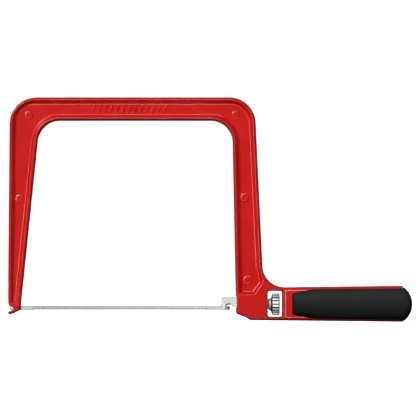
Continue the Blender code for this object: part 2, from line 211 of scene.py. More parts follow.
def skin(bm, rings, closed=False):
    """Join rings of points, all of one length, side by side; cap the ends unless closed."""
    loops = [[bm.verts.new(point) for point in ring] for ring in rings]
    if not closed:
        bm.faces.new(loops[0])
        bm.faces.new(loops[-1])
    pairs = list(zip(loops, loops[1:]))
    if closed:
        pairs.append((loops[-1], loops[0]))
    for first, second in pairs:
        count = len(first)
        for i in range(count):
            j = (i + 1) % count
            bm.faces.new((first[i], first[j], second[j], second[i]))


def solid(name, shells, closed=False):
    """One object from one or more shells; each shell is a list of rings."""
    bm = bmesh.new()
    for rings in shells:
        skin(bm, rings, closed)
    bmesh.ops.recalc_face_normals(bm, faces=bm.faces)
    mesh = bpy.data.meshes.new(name)
    bm.to_mesh(mesh)
    bm.free()
    piece = bpy.data.objects.new(name, mesh)
    bpy.context.scene.collection.objects.link(piece)
    return piece


def flat_rings(corners, levels):
    """Rings of an outline that lies in XZ; levels are (y, inset)."""
    return [[(x, y, z) for x, z in outline(corners, inset)] for y, inset in levels]


def round_rings_x(profile, steps):
    """Rings about the rod's axis; profile is (x, radius)."""
    turns = [2 * math.pi * step / steps for step in range(steps)]
    return [[(x, radius * math.cos(a), radius * math.sin(a)) for a in turns]
            for x, radius in profile]


def round_rings_y(place, profile, steps=48):
    """Rings about an axis along Y through place (x, z); profile is (y, radius)."""
    turns = [2 * math.pi * step / steps for step in range(steps)]
    return [[(place[0] + radius * math.cos(a), y, place[1] + radius * math.sin(a))
             for a in turns] for y, radius in profile]


def box_rings(low, high):
    """Rings of a box between two opposite corners."""
    corners = [(low[0], low[2]), (high[0], low[2]), (high[0], high[2]), (low[0], high[2])]
    return [[(x, y, z) for x, z in corners] for y in (low[1], high[1])]


def hole_rings(place, radius):
    """Rings of a round hole along Y, right through the saw."""
    return round_rings_y(place, [(-THROUGH, radius), (THROUGH, radius)], 32)


def carve(piece, tool, operation="DIFFERENCE"):
    """Cut tool from piece, or add it, for good."""
    boolean = piece.modifiers.new("carve", "BOOLEAN")
    boolean.operation = operation
    boolean.solver = "EXACT"
    boolean.object = tool
    graph = bpy.context.evaluated_depsgraph_get()
    result = bpy.data.meshes.new_from_object(piece.evaluated_get(graph))
    old = piece.data
    piece.modifiers.clear()
    piece.data = result
    bpy.data.meshes.remove(old)
    bpy.data.objects.remove(tool, do_unlink=True)


def smooth(piece, angle=35):
    """Smooth shading with crisp edges; large flat faces keep their own direction."""
    piece.data.shade_smooth()
    piece.data.set_sharp_from_angle(angle=math.radians(angle))
    weighting = piece.modifiers.new("flat faces stay flat", "WEIGHTED_NORMAL")
    weighting.keep_sharp = True
    weighting.weight = 100


def place_piece(piece, body, slot, material, *nodes):
    """Give a piece its only material, the body it moves with and the solids it stands for."""
    piece.data.materials.clear()
    piece.data.materials.append(material)
    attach(piece, body)
    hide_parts(*nodes)


# The casting

def frame_corners():
    """Tip hook, throat, block, handle core, heel, bar, front arm; thin lips are rounded less."""
    thin = 0.15
    lip = 0.45
    return [
        corner(0.1, -10.0, 0.9, 0.9),
        corner(5.0, -9.1, 6.0, 0.9),
        corner(11.9, -5.5, 1.2),
        corner(30.5, 174.4, 21.0),
        corner(213.4, 174.4, 21.0),
        corner(217.0, -9.0, 1.4),
        corner(226.4, -12.6, 3.0),
        corner(230.4, -15.3, 3.0),
        corner(376.2, -16.9, 1.4, lip),
        corner(376.2, 17.4, 1.4),
        corner(243.1, 15.75, 21.0),
        corner(234.6, 196.6, 25.0),
        corner(1.8, 196.6, 25.0),
        corner(0.0, 7.0, 30.0, 0.8),
        corner(0.2, -0.4, 0.6, lip),
        corner(1.9, -2.1, 0.8, thin),
        corner(5.3, -2.1, 1.7, thin),
        corner(5.3, -5.6, 1.7, thin),
        corner(0.2, -6.6, 0.6, lip),
    ]


def frame_levels():
    """The sides lean in towards both faces; the mould's parting line runs round the middle."""
    proud = 0.00008
    narrow = 0.00010
    wide = 0.00035
    edge = list(soft_chamfer(0.0019, math.radians(68), 0.00025, 0.0003))
    front = [(-FRAME_HALF + lost, inset) for lost, inset in reversed(edge)]
    parting = [(-wide, 0.0), (-narrow, -proud), (narrow, -proud), (wide, 0.0)]
    back = [(FRAME_HALF - lost, inset) for lost, inset in edge]
    return front + parting + back


def panel_corners():
    """A recessed panel follows the casting's sides, then closes its two ends."""
    beside = moved_inwards(frame_corners(), RIM / 1000)

    def follow(index, right, up, share):
        """The casting's corner of that index, set in by the rim and moved a little."""
        x, z, radius, _ = beside[index]
        return x + right / 1000, z + up / 1000, radius, share

    return [
        corner(2.6, 0.3, 3.1),
        corner(8.8, 0.3, 3.1, 0.8),
        follow(3, -0.7, 0.0, 1.0),
        follow(4, 0.0, 0.0, 1.3),
        corner(219.6, 8.9, 1.0),
        corner(234.7, 8.9, 2.0),
        corner(243.0, 20.8, 2.0),
        corner(239.3, 36.0, 6.0),
        follow(11, 0.0, 0.5, 1.35),
        follow(12, -0.5, 0.5, 1.15),
    ]


def panel_levels():
    """(y, inset) from beyond the face, over the soft rim and down the wall, to the floor."""
    steps = 6
    soft = (RIM_ROUND + FLOOR_ROUND) * (1 - math.cos(WALL_TILT))
    slope = (FRAME_HALF - WEB_HALF - soft) / math.sin(WALL_TILT)
    levels = [(2 * FRAME_HALF, WALL_START)]
    for step in range(steps + 1):
        angle = WALL_TILT * step / steps
        y = FRAME_HALF - RIM_ROUND * (1 - math.cos(angle))
        levels.append((y, WALL_START + RIM_ROUND * math.sin(angle)))
    foot = levels[-1][1] + slope * math.cos(WALL_TILT)
    for step in range(steps + 1):
        angle = WALL_TILT * (1 - step / steps)
        y = WEB_HALF + FLOOR_ROUND * (1 - math.cos(angle))
        levels.append((y, foot + FLOOR_ROUND * (math.sin(WALL_TILT) - math.sin(angle))))
    return levels


def pad_rings(side):
    """The raised flat of the handle core on one face."""
    corners = [
        corner(262.9, -13.8, 1.8),
        corner(374.8, -15.2, 1.8),
        corner(374.8, 15.6, 1.8),
        corner(262.9, 14.2, 1.8),
    ]
    rooted = 0.0050
    soft = 0.0010
    stretch = 1.9
    levels = [(rooted, 0.0)]
    levels += [(PAD_HALF - lost, stretch * inset) for lost, inset in quarter_round(soft, 8)]
    return flat_rings(corners, [(side * y, inset) for y, inset in levels])


def mark_rings(x, z):
    """A round ejector mark: a low disc with a soft edge, on the front panel's floor."""
    rooted = 0.0005
    profile = [(WEB_HALF - rooted, 4.4), (WEB_HALF + 0.00002, 4.3), (WEB_HALF + 0.00016, 3.95),
               (WEB_HALF + 0.00044, 3.55), (WEB_HALF + 0.00052, 3.25), (WEB_HALF + 0.00054, 2.9)]
    return round_rings_y((at(x), z / 1000), [(-y, r / 1000) for y, r in profile])


def rib_rings(left):
    """One plain slanted rib with a soft top; left is where its foot starts."""
    low, high = 181.6, 189.4
    width, slant = 3.0, 2.6
    soft = 0.35
    rooted = 0.0005
    corners = [
        corner(left, low, soft),
        corner(left + width, low, soft),
        corner(left + width + slant, high, soft),
        corner(left + slant, high, soft),
    ]
    levels = [(WEB_HALF - rooted, -0.0001), (WEB_HALF + 0.00004, -0.0001),
              (WEB_HALF + 0.00012, 0.0), (WEB_HALF + 0.00064, 0.00042),
              (WEB_HALF + 0.00074, 0.00055), (WEB_HALF + 0.00078, 0.00072)]
    return flat_rings(corners, [(-y, inset) for y, inset in levels])


def raised_details():
    """Shells of the handle's two pads and of the front panel's round marks and ribs."""
    places = ((19.9, 179.7), (11.3, 100.4), (216.9, 180.0), (225.4, 101.8), (228.3, 23.0))
    first_rib = 78.2
    rib_pitch = 5.7
    ribs = 13
    shells = [pad_rings(-1), pad_rings(1)]
    shells += [mark_rings(x, z) for x, z in places]
    shells += [rib_rings(first_rib + index * rib_pitch) for index in range(ribs)]
    return shells


def window_rings():
    """The wheel's window: drafted walls that meet in the middle, soft edges at both faces."""
    soft = 0.0004
    draft = 0.0009
    radius = 1.6
    more = 1.3
    corners = [
        corner(WINDOW_LEFT, WINDOW_LOW, radius),
        corner(WINDOW_RIGHT, WINDOW_LOW, radius, more),
        corner(WINDOW_RIGHT, WINDOW_HIGH, radius, more),
        corner(WINDOW_LEFT, WINDOW_HIGH, radius, more),
    ]
    edge = list(quarter_round(soft, 4))
    front = [(-FRAME_HALF + lost, -draft - inset) for lost, inset in reversed(edge)]
    back = [(FRAME_HALF - lost, -draft - inset) for lost, inset in edge]
    wide = -draft - soft
    return flat_rings(corners, [(-THROUGH, wide), *front, (0.0, 0.0), *back, (THROUGH, wide)])


def slot_rings():
    """The square slot that guides the holder, its mouth softened towards the throat."""
    holder_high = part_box("blade_holder")[1]
    start, mouth, end = at(200.0), at(216.8), at(236.0)
    soft = 0.00045
    stations = [(start, soft), (mouth, soft), (mouth + soft / 4, soft / 3),
                (mouth + soft, 0.0), (end, 0.0)]
    rings = []
    for x, flare in stations:
        half = holder_high.y + GAP + flare
        low = HOLDER_FOOT - GAP - flare
        high = holder_high.z + GAP + flare
        rings.append([(x, -half, low), (x, half, low), (x, half, high), (x, -half, high)])
    return rings


def bore_rings():
    """The rod's bore through the block's wall, with the washer's seat at the window."""
    washer_low, washer_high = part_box("thrust_washer")
    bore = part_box("draw_rod")[1].z + 2 * GAP
    seat = washer_high.z + GAP
    start = at(235.0)
    floor = washer_low.x - GAP
    end = washer_high.x + 0.002
    return round_rings_x([(start, bore), (floor, bore), (floor, seat), (end, seat)], 48)


def make_casting(material):
    """Arms, bar, block and handle core in one, recessed on both faces."""
    casting = solid("casting", [flat_rings(frame_corners(), frame_levels())])
    panels = []
    for side in (-1, 1):
        levels = [(side * y, inset) for y, inset in panel_levels()]
        panels.append(flat_rings(panel_corners(), levels))
    carve(casting, solid("panels", panels))
    carve(casting, solid("raised", raised_details()), "UNION")

    slit_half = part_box("blade")[1].y + GAP
    slit_top = -0.0009
    slit = box_rings((at(-3.0), -slit_half, -THROUGH), (at(20.0), slit_half, slit_top))
    holes = [window_rings(), slit]
    holes += [hole_rings(screw_place(number), SCREW_CLEARANCE) for number in SCREWS]
    carve(casting, solid("holes", holes))
    carve(casting, solid("slot", [slot_rings()]))
    carve(casting, solid("bore", [bore_rings()]))
    smooth(casting)
    place_piece(casting, "frame", "red_enamel", material, "frame")


# The tensioner

def knurled_ring(x, radius, full):
    """A ring that dips into narrow grooves between broad rounded ridges."""
    ridges = 20
    depth = 0.0010
    crown = 0.00018
    half_groove = 0.2
    steepness = 0.8
    shares = (0.0, 0.06, 0.13, 0.2, 0.28, 0.4, 0.5, 0.6, 0.72, 0.8, 0.87, 0.94)
    ring = []
    for ridge in range(ridges):
        for share in shares:
            off = min(share, 1 - share)
            groove = depth * max(0.0, 1 - off / half_groove) ** steepness
            bulge = crown * (1 - 2 * off) ** 2
            reach = min(radius, full - groove - bulge)
            angle = 2 * math.pi * (ridge + share) / ridges
            ring.append((x, reach * math.cos(angle), reach * math.sin(angle)))
    return ring


def make_wheel(material):
    """Knurled thumb wheel with a slightly conical hub towards the block's wall."""
    low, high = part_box("tension_wheel")
    full = high.z
    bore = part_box("draw_rod")[1].z + 0.0002
    left = at(251.0)
    shoulder = at(250.2)
    soft = 0.0014
    lead = 0.0005
    hub_tip = 0.0052
    profile = [
        (low.x + lead, bore),
        (low.x, bore + lead),
        (low.x, hub_tip - 0.0003),
        (low.x + 0.0003, hub_tip),
        (shoulder - 0.0005, HUB_ROOT - 0.0002),
        (shoulder - 0.0001, HUB_ROOT),
        (shoulder, HUB_ROOT + 0.0004),
    ]
    edge = list(quarter_round(soft, 5))
    profile += [(left + inset, full - lost) for lost, inset in edge]
    profile += [(high.x - inset, full - lost) for lost, inset in reversed(edge)]
    profile += [(high.x, bore + 2 * lead), (high.x - 2 * lead, bore)]
    rings = [knurled_ring(x, radius, full) for x, radius in profile]
    wheel = solid("thumb_wheel", [rings], closed=True)
    smooth(wheel, 40)
    place_piece(wheel, "tension_wheel", "bright_nickel", material, "tension_wheel")


def make_washer(material):
    """A flat washer that the wheel's hub bears on."""
    low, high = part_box("thrust_washer")
    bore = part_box("draw_rod")[1].z + 2 * GAP
    edge = 0.0001
    profile = [(low.x, bore), (low.x, high.z - edge), (low.x + edge, high.z),
               (high.x - edge, high.z), (high.x, high.z - edge), (high.x, bore)]
    washer = solid("washer", [round_rings_x(profile, 64)], closed=True)
    smooth(washer)
    place_piece(washer, "frame", "plain_steel", material, "thrust_washer")


def make_rod(material):
    """The draw rod with its real thread, run out at both ends."""
    low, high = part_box("draw_rod")
    mean = high.z
    pitch = 0.0008
    half_depth = 0.00022
    turns = 24
    stride = pitch / 8
    lead = 0.0008
    taper = 0.0005
    count = round((high.x - low.x) / stride)
    rings = []
    for station in range(count + 1):
        x = low.x + (high.x - low.x) * station / count
        from_end = min(x - low.x, high.x - x)
        swell = half_depth * min(1.0, from_end / lead)
        neck = taper * max(0.0, 1 - from_end / lead)
        ring = []
        for turn in range(turns):
            angle = 2 * math.pi * turn / turns
            phase = (x / pitch - turn / turns) % 1
            radius = mean - neck + swell * (4 * abs(phase - 0.5) - 1)
            ring.append((x, radius * math.cos(angle), radius * math.sin(angle)))
        rings.append(ring)
    rod = solid("threaded_rod", [rings])
    smooth(rod, 60)
    place_piece(rod, "blade_carriage", "plain_steel", material, "draw_rod")


def make_pin(name, node, body, material):
    """A short pin across the blade, domed a little at both ends."""
    low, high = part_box(node)
    radius = (high.z - low.z) / 2
    dome = 0.00035
    half = high.y
    end = [(half - dome, 1.0), (half - 0.5 * dome, 0.93), (half - 0.15 * dome, 0.72),
           (half, 0.35)]
    profile = [(-y, share * radius) for y, share in reversed(end)]
    profile += [(y, share * radius) for y, share in end]
    pin = solid(name, [round_rings_y(box_middle(node), profile, 32)])
    smooth(pin, 50)
    place_piece(pin, body, "plain_steel", material, node)


def make_holder(material):
    """Flat bar with the rear pin's notch, wider at its mouth on the face shown, and its bores."""
    low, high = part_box("blade_holder")
    foot = HOLDER_FOOT * 1000
    hook = low.z * 1000
    top = high.z * 1000
    corners = [
        corner(202.9, hook, 0.6),
        corner(208.0, hook, 0.6),
        corner(208.0, -0.7, 1.6),
        corner(212.2, -0.7, 1.6),
        corner(214.4, foot, 0.8),
        corner(234.0, foot, 0.6),
        corner(234.0, top, 0.6),
        corner(202.9, top, 0.6),
    ]
    edge = list(quarter_round(0.0004, 4))
    levels = [(-high.y + lost, inset) for lost, inset in reversed(edge)]
    levels += [(high.y - lost, inset) for lost, inset in edge]
    holder = solid("holder", [flat_rings(corners, levels)])

    blade_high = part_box("blade")[1]
    slit_half = blade_high.y + GAP
    slit_low = (low.x - 0.002, -slit_half, -THROUGH)
    slit_high = (blade_high.x + 0.0015, slit_half, blade_high.z + GAP)
    rod_low, rod_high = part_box("draw_rod")
    radius = rod_high.z + GAP
    bore = round_rings_x([(rod_low.x - GAP, radius), (high.x + 0.002, radius)], 48)
    pin_x = box_middle("rod_pin")[0]
    pin_hole = hole_rings((pin_x, 0.0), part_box("rod_pin")[1].z + 0.0001)
    carve(holder, solid("slit", [box_rings(slit_low, slit_high)]))
    carve(holder, solid("bore", [bore]))
    carve(holder, solid("cross", [pin_hole]))
    soft = 0.0003
    mouth = [
        corner(207.2, hook - 2.0, 0.1),
        corner(212.3, hook - 2.0, 0.1),
        corner(212.3, 0.3, 1.4),
        corner(207.2, 0.3, 2.2),
    ]
    levels = [(-high.y - 0.001, -soft), (-high.y, -soft), (-high.y + soft, 0.0), (0.0, 0.0)]
    carve(holder, solid("mouth", [flat_rings(mouth, levels)]))
    smooth(holder)
    place_piece(holder, "blade_carriage", "zinc_plate", material, "blade_holder")


# The blade

def blade_chains():
    """Columns along the blade: (x, z of the bend line, z of the lower edge, set)."""
    low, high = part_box("blade")
    pitch = TOOTH_PITCH
    depth = 0.0016
    lean = 0.55
    tip = 0.85
    teeth = 78
    land = 0.0005
    tooth_set = 0.00030
    ease = 0.0006
    first = at(FIRST_TOOTH)
    root = low.z + depth
    bend = root + 0.0002
    columns = [(low.x, bend, low.z + ease, 0.0), (low.x + ease, bend, low.z, 0.0),
               (first - land, bend, low.z, 0.0)]
    for tooth in range(teeth):
        start = first + tooth * pitch
        way = -1 if tooth % 2 else 1
        columns.append((start, bend, root, 0.0))
        columns.append((start + lean * pitch, bend, low.z, way * tooth_set))
        columns.append((start + tip * pitch, bend, low.z, way * tooth_set))
    last = first + teeth * pitch
    columns += [(last, bend, root, 0.0), (last + land, bend, low.z, 0.0),
                (high.x - ease, bend, low.z, 0.0), (high.x, bend, low.z + ease, 0.0)]
    return columns


def make_blade(material):
    """Thin strip with alternately set teeth, drilled at both ends for its pins."""
    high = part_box("blade")[1]
    half = high.y
    worn = 0.00006
    columns = blade_chains()
    bm = bmesh.new()
    walls = []
    for side in (-1, 1):
        chains = [
            [bm.verts.new((x, side * (half - worn), high.z)) for x, _, _, _ in columns],
            [bm.verts.new((x, side * half, high.z - 2 * worn)) for x, _, _, _ in columns],
            [bm.verts.new((x, side * half, bend)) for x, bend, _, _ in columns],
            [bm.verts.new((x, side * half + bent, z)) for x, _, z, bent in columns],
        ]
        for upper, lower in zip(chains, chains[1:]):
            for i in range(len(columns) - 1):
                bm.faces.new((upper[i], upper[i + 1], lower[i + 1], lower[i]))
        walls.append(chains)
    front, back = walls
    for i in range(len(columns) - 1):
        for row in (0, -1):
            bm.faces.new((front[row][i], front[row][i + 1], back[row][i + 1], back[row][i]))
    for end in (0, -1):
        for row in range(3):
            bm.faces.new((front[row][end], front[row + 1][end],
                          back[row + 1][end], back[row][end]))
    bmesh.ops.recalc_face_normals(bm, faces=bm.faces)
    mesh = bpy.data.meshes.new("toothed_blade")
    bm.to_mesh(mesh)
    bm.free()
    blade = bpy.data.objects.new("toothed_blade", mesh)
    bpy.context.scene.collection.objects.link(blade)

    holes = []
    for node in ("blade_pin_front", "blade_pin_rear"):
        pin_low, pin_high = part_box(node)
        radius = (pin_high.z - pin_low.z) / 2 + 0.0001
        holes.append(hole_rings(box_middle(node), radius))
    carve(blade, solid("pin_holes", holes))
    blade.data.shade_flat()
    place_piece(blade, "blade_carriage", "blade_steel", material, "blade")


# The grip

def crown_rings(side):
    """Rings from the grip's flat seat, up a smoothly crowned back, to its ridge."""
    low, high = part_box("grip_back")
    half_height = 0.0151
    seat = PAD_HALF + GAP
    shoulder = 0.0084
    crown = high.y
    squareness = 2.0
    steps = 14
    closeness = 1.7
    ridge = 0.97
    end = 0.0002
    corners = [
        corner(270.3, -9.8, 1.6),
        corner(289.0, -13.7, 14.0),
        corner(377.8, -15.1, 0.6),
        corner(394.0, 0.0, 20.2),
        corner(377.8, 15.1, 0.6),
        corner(289.0, 14.2, 14.0),
        corner(270.3, 10.2, 1.6),
    ]
    points = outline(corners)
    middle = (low.x + high.x) / 2
    half_length = (high.x - low.x) / 2
    end_slope = 0.0030
    levels = [(seat, end, 0.0), (seat + end, 0.0, 0.0), (shoulder, 0.0, 0.0)]
    for step in range(1, steps + 1):
        share = ridge * (step / steps) ** closeness
        rise = (1 - (1 - share) ** squareness) ** (1 / squareness)
        levels.append((shoulder + (crown - shoulder) * rise, share * half_height,
                       end_slope * rise ** 2))
    rings = []
    for y, inset, end_inset in levels:
        across = 1 - inset / half_height
        along_x = 1 - end_inset / half_length
        rings.append([(middle + (x - middle) * along_x, side * y, z * across)
                      for x, z in points])
    return rings


def heel_rings(side):
    """Rings of the heel that wraps the end of the casting's core."""
    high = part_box("grip_back")[1]
    start = 376.5
    radius = 0.0203
    corners = [corner(start, -16.2, 0.1), corner(397.5, 0.0, 20.3), corner(start, 16.2, 0.1)]
    points = outline(corners)
    middle = high.x - radius
    levels = [(GAP / 2, 0.0003), (GAP / 2 + 0.0003, 0.0)]
    edge = soft_chamfer(0.0028, math.radians(62), 0.0010, 0.0006)
    levels += [(0.0097 - lost, inset) for lost, inset in edge]
    rings = []
    for y, inset in levels:
        share = 1 - inset / radius
        rings.append([(middle + (x - middle) * share, side * y, z * share) for x, z in points])
    return rings


def make_grips(material):
    """Both halves; the screws' heads sit in the back half, their points end in the front."""
    clear = SCREW_CLEARANCE
    seat = SCREW_HEAD_BASE - GAP
    for name, node, side in (("grip_face", "grip_front", -1), ("grip_rear", "grip_back", 1)):
        grip = solid(name, [crown_rings(side)])
        carve(grip, solid("heel", [heel_rings(side)]), "UNION")
        holes = []
        for number in SCREWS:
            low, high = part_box(screw_node(number))
            head = high.z + GAP
            if side < 0:
                profile = [(low.y - GAP, clear), (0.0, clear)]
            else:
                profile = [(0.0, clear), (seat, clear), (seat, head), (0.0106, head),
                           (0.0115, head + 0.0003), (THROUGH, head + 0.0012)]
            holes.append(round_rings_y(screw_place(number), profile))
        carve(grip, solid("screw_holes", holes))
        smooth(grip, 40)
        place_piece(grip, "frame", "black_grip", material, node)


def make_screw(number, material):
    """Pan-head screw seen from the back, with a cross recess that narrows downwards."""
    node = screw_node(number)
    low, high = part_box(node)
    place = screw_place(number)
    radius = 0.0020
    head = high.z
    base = SCREW_HEAD_BASE
    top = high.y
    profile = [(low.y, 0.0007), (low.y + 0.0014, radius), (base, radius), (base, head - 0.0001),
               (base + 0.0002, head), (base + 0.0007, head), (base + 0.0012, head - 0.0004),
               (top - 0.0001, head - 0.0010), (top, head - 0.0016)]
    screw = solid("screw_" + str(number), [round_rings_y(place, profile, 48)])
    turn = math.radians(25 + 31 * number)
    recess_floor = (top - 0.0011, 0.0009, 0.00028)
    recess_mouth = (THROUGH, 0.0125, 0.0006)
    for quarter in (0, 1):
        angle = turn + quarter * math.pi / 2
        along = (math.cos(angle), math.sin(angle))
        rings = []
        for y, reach, half_width in (recess_floor, recess_mouth):
            ring = []
            for a, b in ((-1, -1), (1, -1), (1, 1), (-1, 1)):
                ring.append((place[0] + a * reach * along[0] - b * half_width * along[1], y,
                             place[1] + a * reach * along[1] + b * half_width * along[0]))
            rings.append(ring)
        carve(screw, solid("recess", [rings]))
    smooth(screw, 40)
    place_piece(screw, "frame", "zinc_plate", material, node)


# Finishes

def finish_nodes(name):
    """A new material, its node tree and its shader."""
    material = bpy.data.materials.new(name)
    material.use_nodes = True
    tree = material.node_tree
    return material, tree, tree.nodes["Principled BSDF"]


def place_coordinates(tree, stretch=(1.0, 1.0, 1.0)):
    """Object coordinates in metres, squeezed along each axis by stretch."""
    source = tree.nodes.new("ShaderNodeTexCoord")
    mapping = tree.nodes.new("ShaderNodeMapping")
    mapping.inputs["Scale"].default_value = stretch
    tree.links.new(source.outputs["Object"], mapping.inputs["Vector"])
    return mapping.outputs["Vector"]


def noise(tree, vector, scale, detail=3.0, roughness=0.5):
    """Soft noise, mostly between 0.3 and 0.7."""
    node = tree.nodes.new("ShaderNodeTexNoise")
    node.inputs["Scale"].default_value = scale
    node.inputs["Detail"].default_value = detail
    node.inputs["Roughness"].default_value = roughness
    tree.links.new(vector, node.inputs["Vector"])
    return node.outputs["Fac"]


def spread(tree, value, low, high, start=0.3, end=0.7):
    """Map start..end, which is a noise's usual range, onto low..high; it is held beyond them."""
    node = tree.nodes.new("ShaderNodeMapRange")
    node.inputs["From Min"].default_value = start
    node.inputs["From Max"].default_value = end
    node.inputs["To Min"].default_value = low
    node.inputs["To Max"].default_value = high
    tree.links.new(value, node.inputs["Value"])
    return node.outputs["Result"]


def blend_colours(tree, share, first, second):
    """Mix two colours, or outputs that carry colours."""
    node = tree.nodes.new("ShaderNodeMix")
    node.data_type = "RGBA"
    tree.links.new(share, node.inputs["Factor"])
    for socket, colour in ((node.inputs["A"], first), (node.inputs["B"], second)):
        if isinstance(colour, tuple):
            socket.default_value = (*colour, 1.0)
        else:
            tree.links.new(colour, socket)
    return node.outputs["Result"]


def bump(tree, height, distance, normal=None):
    """Bump of the given depth in metres, on top of another one."""
    node = tree.nodes.new("ShaderNodeBump")
    node.inputs["Strength"].default_value = 1.0
    node.inputs["Distance"].default_value = distance
    tree.links.new(height, node.inputs["Height"])
    if normal:
        tree.links.new(normal, node.inputs["Normal"])
    return node.outputs["Normal"]


def calculate(tree, operation, first, second):
    """The result of one Math operation on an output and another one, or a number."""
    node = tree.nodes.new("ShaderNodeMath")
    node.operation = operation
    tree.links.new(first, node.inputs[0])
    if isinstance(second, float):
        node.inputs[1].default_value = second
    else:
        tree.links.new(second, node.inputs[1])
    return node.outputs["Value"]


def multiply(tree, first, second):
    """The product of one output and another, or a number."""
    return calculate(tree, "MULTIPLY", first, second)


def add(tree, first, second):
    """The sum of one output and another, or a number."""
    return calculate(tree, "ADD", first, second)


def axis_value(tree, axis):
    """One of the object coordinates."""
    apart = tree.nodes.new("ShaderNodeSeparateXYZ")
    tree.links.new(place_coordinates(tree), apart.inputs["Vector"])
    return apart.outputs[axis]


def between(tree, axis, low, high, soft):
    """1 where a coordinate lies between low and high, fading to 0 over soft at both ends."""
    value = axis_value(tree, axis)
    return multiply(tree, spread(tree, value, 0.0, 1.0, low - soft, low),
                    spread(tree, value, 1.0, 0.0, high, high + soft))


def near(tree, place, inner, outer):
    """1 within inner metres of a place, fading to 0 at outer."""
    source = tree.nodes.new("ShaderNodeTexCoord")
    distance = tree.nodes.new("ShaderNodeVectorMath")
    distance.operation = "DISTANCE"
    distance.inputs[1].default_value = place
    tree.links.new(source.outputs["Object"], distance.inputs[0])
    return spread(tree, distance.outputs["Value"], 1.0, 0.0, inner, outer)


def window_walls(tree):
    """The window's walls: thinly painted and matt, their colour darkened as painted shade."""
    soft = 0.0003
    deep = FRAME_HALF - soft
    margin = 1.1
    across = between(tree, "X", at(WINDOW_LEFT - margin), at(WINDOW_RIGHT + margin), soft)
    low, high = (WINDOW_LOW - margin) / 1000, (WINDOW_HIGH + margin) / 1000
    upright = between(tree, "Z", low, high, soft)
    return multiply(tree, between(tree, "Y", -deep, deep, soft), multiply(tree, across, upright))


def enamel():
    """Glossy red stoved enamel, faintly peeled, uneven and rubbed where the front pin sits;
    painted shade on the window's walls.
    """
    material, tree, shader = finish_nodes("stoved red enamel")
    space = place_coordinates(tree)
    uneven = spread(tree, noise(tree, space, 45.0, 4.0), 0.0, 1.0)
    bare_metal = (0.40, 0.39, 0.38)
    # a dark red painted on the window's walls as the shade inside the window
    painted_shade_red = (0.10, 0.0035, 0.0055)
    red = blend_colours(tree, uneven, (0.62, 0.0070, 0.0062), (0.68, 0.0100, 0.0082))
    pin_x, pin_z = box_middle("blade_pin_front")
    rubbed = multiply(tree, near(tree, (pin_x, 0.0, pin_z), 0.0032, 0.0072),
                      spread(tree, noise(tree, space, 1600.0, 2.0), 0.0, 0.75, 0.56, 0.64))
    colour = blend_colours(tree, rubbed, red, bare_metal)
    walls = window_walls(tree)
    # painted shade: the window's walls take the dark red
    colour = blend_colours(tree, walls, colour, painted_shade_red)
    tree.links.new(colour, shader.inputs["Base Color"])
    patchy = spread(tree, noise(tree, space, 160.0, 3.0), 0.19, 0.21)
    tree.links.new(add(tree, patchy, multiply(tree, walls, 0.5)), shader.inputs["Roughness"])
    shader.inputs["Metallic"].default_value = 0.0
    tree.links.new(spread(tree, walls, 0.3, 0.05, 0.0, 1.0), shader.inputs["Specular IOR Level"])
    tree.links.new(spread(tree, walls, 0.5, 0.0, 0.0, 1.0), shader.inputs["Coat Weight"])
    shader.inputs["Coat Roughness"].default_value = 0.07
    peel = noise(tree, space, 620.0, 2.0)
    fine = noise(tree, space, 2600.0, 2.0)
    relief = bump(tree, fine, 0.000004, bump(tree, peel, 0.000008))
    tree.links.new(relief, shader.inputs["Normal"])
    tree.links.new(relief, shader.inputs["Coat Normal"])
    return material


def rubber():
    """Matt black grip with a fine moulded grain, lighter towards its top in cloudy patches as
    painted light.
    """
    material, tree, shader = finish_nodes("grained black rubber")
    space = place_coordinates(tree)
    cloudy = spread(tree, noise(tree, space, 60.0, 5.0), 0.7, 1.0)
    # painted light: the grip is lighter towards its top, in cloudy patches
    top_light_in_clouds = multiply(tree, cloudy, spread(tree, axis_value(tree, "Z"), 0.0, 1.0, -0.011, 0.010))
    black = blend_colours(tree, top_light_in_clouds, (0.0018, 0.0020, 0.0019), (0.0160, 0.0182, 0.0176))
    tree.links.new(black, shader.inputs["Base Color"])
    grain = noise(tree, space, 1500.0, 3.0, 0.6)
    tree.links.new(spread(tree, grain, 0.45, 0.55), shader.inputs["Roughness"])
    shader.inputs["Specular IOR Level"].default_value = 0.11
    pores = noise(tree, space, 5200.0, 2.0)
    relief = bump(tree, pores, 0.000012, bump(tree, grain, 0.00005))
    tree.links.new(relief, shader.inputs["Normal"])
    return material


def paint_notch_shade(tree, colour):
    """Painted shade inside the notch that holds the rear pin, behind the holder's face."""
    notch_shade = (0.02, 0.02, 0.02)
    pin_x, pin_z = box_middle("blade_pin_rear")
    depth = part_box("blade_holder")[0].y + 0.0006
    inside = spread(tree, axis_value(tree, "Y"), 0.0, 1.0, depth, depth + 0.0004)
    shaded_notch = multiply(tree, inside, near(tree, (pin_x, 0.0, pin_z), 0.0040, 0.0048))
    return blend_colours(tree, shaded_notch, colour, notch_shade)


def darken_blade_and_shade_teeth(tree, colour):
    """The strip is darker towards the nose; every other tooth is much darker, as painted shade of
    the set teeth.
    """
    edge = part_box("blade")[0].z
    front, back = at(24.5), at(189.0)
    hard = spread(tree, axis_value(tree, "Z"), 1.0, 0.0, edge + 0.0015, edge + 0.0022)
    zone = multiply(tree, hard, between(tree, "X", front, back, 0.001))
    from_first = add(tree, axis_value(tree, "X"), -at(FIRST_TOOTH))
    # painted shade: every other tooth, set the other way, is coloured near black
    swing = calculate(tree, "PINGPONG", from_first, TOOTH_PITCH)
    other = spread(tree, swing, 0.0, 1.0, 0.3 * TOOTH_PITCH, 0.7 * TOOTH_PITCH)
    teeth = blend_colours(tree, other, (0.008, 0.008, 0.010), (0.33, 0.33, 0.34))
    nose_darkening = spread(tree, axis_value(tree, "X"), 0.40, 0.0, at(30.0), at(170.0))
    lighter_at_tip = spread(tree, axis_value(tree, "X"), 0.3, 1.0, at(22.0), front)
    strip = blend_colours(tree, multiply(tree, nose_darkening, lighter_at_tip), colour, (0.10, 0.105, 0.11))
    return blend_colours(tree, zone, strip, teeth)


